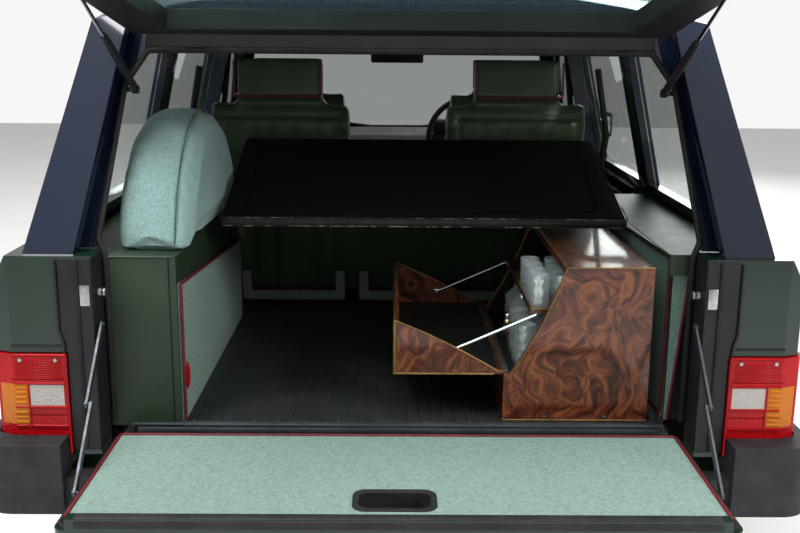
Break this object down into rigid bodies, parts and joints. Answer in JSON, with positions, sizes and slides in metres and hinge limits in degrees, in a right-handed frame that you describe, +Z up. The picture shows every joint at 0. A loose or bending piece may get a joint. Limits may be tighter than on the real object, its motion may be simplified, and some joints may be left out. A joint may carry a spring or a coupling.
{
  "type": "sport utility vehicle",
  "caption": "Two-box estate-bodied off-road car with an open split tail, picnic drinks cabinet, hinged doors and bonnet, steered front wheels and a frame chassis.",
  "frame": {"origin": "ground level under the middle of the overall length and width, tailgate lowered", "axes": "+Y towards the bonnet, +X to the vehicle's right, +Z up"},
  "size_m": [2.055, 4.828, 1.7799],
  "materials": {
    "body_green": "gloss dark green paint",
    "body_navy": "gloss blue-black paint",
    "frame_black": "satin chassis black",
    "floor_metal": "satin painted sheet",
    "trim_black": "fine grained",
    "trim_metal_black": "satin black",
    "bumper_black": "grained",
    "lamp_clear": "clear ribbed lens",
    "lamp_red": "ribbed lens",
    "window_glass": "light green tint",
    "leather_green": "grained hide with red piping",
    "carpet_sage": "cut pile carpet",
    "mat_black": "ribbed mat",
    "burl_wood": "high gloss burl veneer",
    "crystal": "cut crystal",
    "shelf_black": "worn black cloth",
    "cast_black": "black paint",
    "exhaust_steel": "dull",
    "strut_black": "satin black",
    "bright_steel": "ground rod",
    "zinc_steel": "zinc plate",
    "chrome": "polished",
    "tyre": "black rubber",
    "alloy": "painted silver"
  },
  "bodies": {
    "root": {"chassis_frame": "frame_black", "floor_pan": "floor_metal", "body_frame": "body_green", "roof_panel": "body_navy", "front_wings": "body_green", "rear_quarters": "body_green", "bulkhead": "floor_metal", "dashboard": "trim_black", "grille": "trim_black", "front_lamps": "lamp_clear", "front_bumper": "bumper_black", "rear_bumper": "bumper_black", "tail_lamps": "lamp_red", "fixed_glass": "window_glass", "front_seats": "leather_green", "rear_seats": "leather_green", "side_boxes": "leather_green", "side_carpets": "carpet_sage", "spare_cover": "carpet_sage", "load_mat": "mat_black", "drinks_cabinet": "burl_wood", "glassware": "crystal", "parcel_shelf": "shelf_black", "axles": "cast_black", "suspension": "frame_black", "driveline": "cast_black", "exhaust": "exhaust_steel", "fuel_tank": "frame_black"},
    "front_door_right": {"front_door_right": "body_green", "front_door_glass_right": "window_glass"},
    "rear_door_right": {"rear_door_right": "body_green", "rear_door_glass_right": "window_glass"},
    "wheel_front_right": {"tyre_front_right": "tyre", "rim_front_right": "alloy"},
    "wheel_rear_right": {"tyre_rear_right": "tyre", "rim_rear_right": "alloy"},
    "knuckle_right": {"knuckle_right": "cast_black"},
    "front_door_left": {"front_door_left": "body_green", "front_door_glass_left": "window_glass"},
    "rear_door_left": {"rear_door_left": "body_green", "rear_door_glass_left": "window_glass"},
    "wheel_front_left": {"tyre_front_left": "tyre", "rim_front_left": "alloy"},
    "wheel_rear_left": {"tyre_rear_left": "tyre", "rim_rear_left": "alloy"},
    "knuckle_left": {"knuckle_left": "cast_black"},
    "tailgate": {"tailgate_shell": "body_green", "tailgate_carpet": "carpet_sage", "tailgate_handle": "trim_black"},
    "hatch": {"hatch_frame": "trim_metal_black", "hatch_glass": "window_glass"},
    "strut_tubes": {"strut_tubes": "strut_black"},
    "strut_rods": {"strut_rods": "bright_steel"},
    "stay_upper": {"stay_upper_links": "zinc_steel"},
    "stay_lower": {"stay_lower_links": "zinc_steel"},
    "bonnet": {"bonnet": "body_green"},
    "steering_wheel": {"steering_wheel": "trim_black"},
    "cabinet_flap": {"cabinet_flap": "burl_wood"},
    "flap_stays": {"flap_stays": "chrome"}
  },
  "joints": [
    {"name": "front_door_right_hinge", "type": "hinge", "parent": "root", "child": "front_door_right", "pos_m": [0.908, 0.909, 0.8], "axis": [0, 0, 1], "range_deg": [0, 65]},
    {"name": "rear_door_right_hinge", "type": "hinge", "parent": "root", "child": "rear_door_right", "pos_m": [0.908, -0.198, 0.8], "axis": [0, 0, 1], "range_deg": [0, 65]},
    {"name": "front_door_left_hinge", "type": "hinge", "parent": "root", "child": "front_door_left", "pos_m": [-0.908, 0.909, 0.8], "axis": [0, 0, -1], "range_deg": [0, 65]},
    {"name": "rear_door_left_hinge", "type": "hinge", "parent": "root", "child": "rear_door_left", "pos_m": [-0.908, -0.198, 0.8], "axis": [0, 0, -1], "range_deg": [0, 65]},
    {"name": "bonnet_hinge", "type": "hinge", "parent": "root", "child": "bonnet", "pos_m": [0, 0.976, 1.122], "axis": [1, 0, 0], "range_deg": [0, 55]},
    {"name": "tailgate_hinge", "type": "hinge", "parent": "root", "child": "tailgate", "pos_m": [0, -1.956, 0.66], "axis": [1, 0, 0], "range_deg": [-90, 0]},
    {"name": "stay_upper_pivot", "type": "hinge", "parent": "root", "child": "stay_upper", "pos_m": [0, -1.966, 0.947], "axis": [1, 0, 0], "range_deg": [-1, 59.55]},
    {"name": "stay_lower_pivot", "type": "hinge", "parent": "tailgate", "child": "stay_lower", "pos_m": [0, -2.247, 0.678], "axis": [1, 0, 0], "range_deg": [-40.79, 1]},
    {"name": "hatch_hinge", "type": "hinge", "parent": "root", "child": "hatch", "pos_m": [0, -1.724, 1.625], "axis": [-1, 0, 0], "range_deg": [-80.9, 0]},
    {"name": "strut_foot_pivot", "type": "hinge", "parent": "root", "child": "strut_tubes", "pos_m": [0, -1.724, 1.447], "axis": [-1, 0, 0], "range_deg": [-92.06, 1]},
    {"name": "strut_slide", "type": "slide", "parent": "strut_tubes", "child": "strut_rods", "axis": [0, -0.8925, 0.451], "range_m": [-0.22061, 0.001]},
    {"name": "steer_right", "type": "hinge", "parent": "root", "child": "knuckle_right", "pos_m": [0.64, 1.634, 0.367], "axis": [0, 0, 1], "range_deg": [-32, 32]},
    {"name": "steer_left", "type": "hinge", "parent": "root", "child": "knuckle_left", "pos_m": [-0.64, 1.634, 0.367], "axis": [0, 0, 1], "range_deg": [-32, 32]},
    {"name": "steering_wheel_turn", "type": "hinge", "parent": "root", "child": "steering_wheel", "pos_m": [0.33, 0.454, 1.122], "axis": [0, -0.946, 0.3241], "range_deg": [-460, 460]},
    {"name": "wheel_front_right_spin", "type": "hinge", "parent": "knuckle_right", "child": "wheel_front_right", "pos_m": [0.743, 1.634, 0.367], "axis": [1, 0, 0], "continuous": true},
    {"name": "wheel_rear_right_spin", "type": "hinge", "parent": "root", "child": "wheel_rear_right", "pos_m": [0.743, -0.906, 0.367], "axis": [1, 0, 0], "continuous": true},
    {"name": "wheel_front_left_spin", "type": "hinge", "parent": "knuckle_left", "child": "wheel_front_left", "pos_m": [-0.743, 1.634, 0.367], "axis": [1, 0, 0], "continuous": true},
    {"name": "wheel_rear_left_spin", "type": "hinge", "parent": "root", "child": "wheel_rear_left", "pos_m": [-0.743, -0.906, 0.367], "axis": [1, 0, 0], "continuous": true},
    {"name": "flap_hinge", "type": "hinge", "parent": "root", "child": "cabinet_flap", "pos_m": [0.245, -1.878, 0.806], "axis": [0, -1, 0], "range_deg": [-90, 0]},
    {"name": "lid_stay_pivot", "type": "hinge", "parent": "cabinet_flap", "child": "flap_stays", "pos_m": [0.112, -1.878, 0.852], "axis": [0, -1, 0], "range_deg": [-1, 79.53]}
  ],
  "couplings": [
    {"joint": "stay_upper_pivot", "follows": "tailgate_hinge", "ratio": -0.65055},
    {"joint": "stay_lower_pivot", "follows": "tailgate_hinge", "ratio": 0.44211},
    {"joint": "strut_foot_pivot", "follows": "hatch_hinge", "ratio": 1.1256},
    {"joint": "strut_slide", "follows": "hatch_hinge", "m_per_rad": 0.15554},
    {"joint": "steer_left", "follows": "steer_right", "ratio": 1},
    {"joint": "steering_wheel_turn", "follows": "steer_right", "ratio": 14},
    {"joint": "lid_stay_pivot", "follows": "flap_hinge", "ratio": -0.87254}
  ]
}
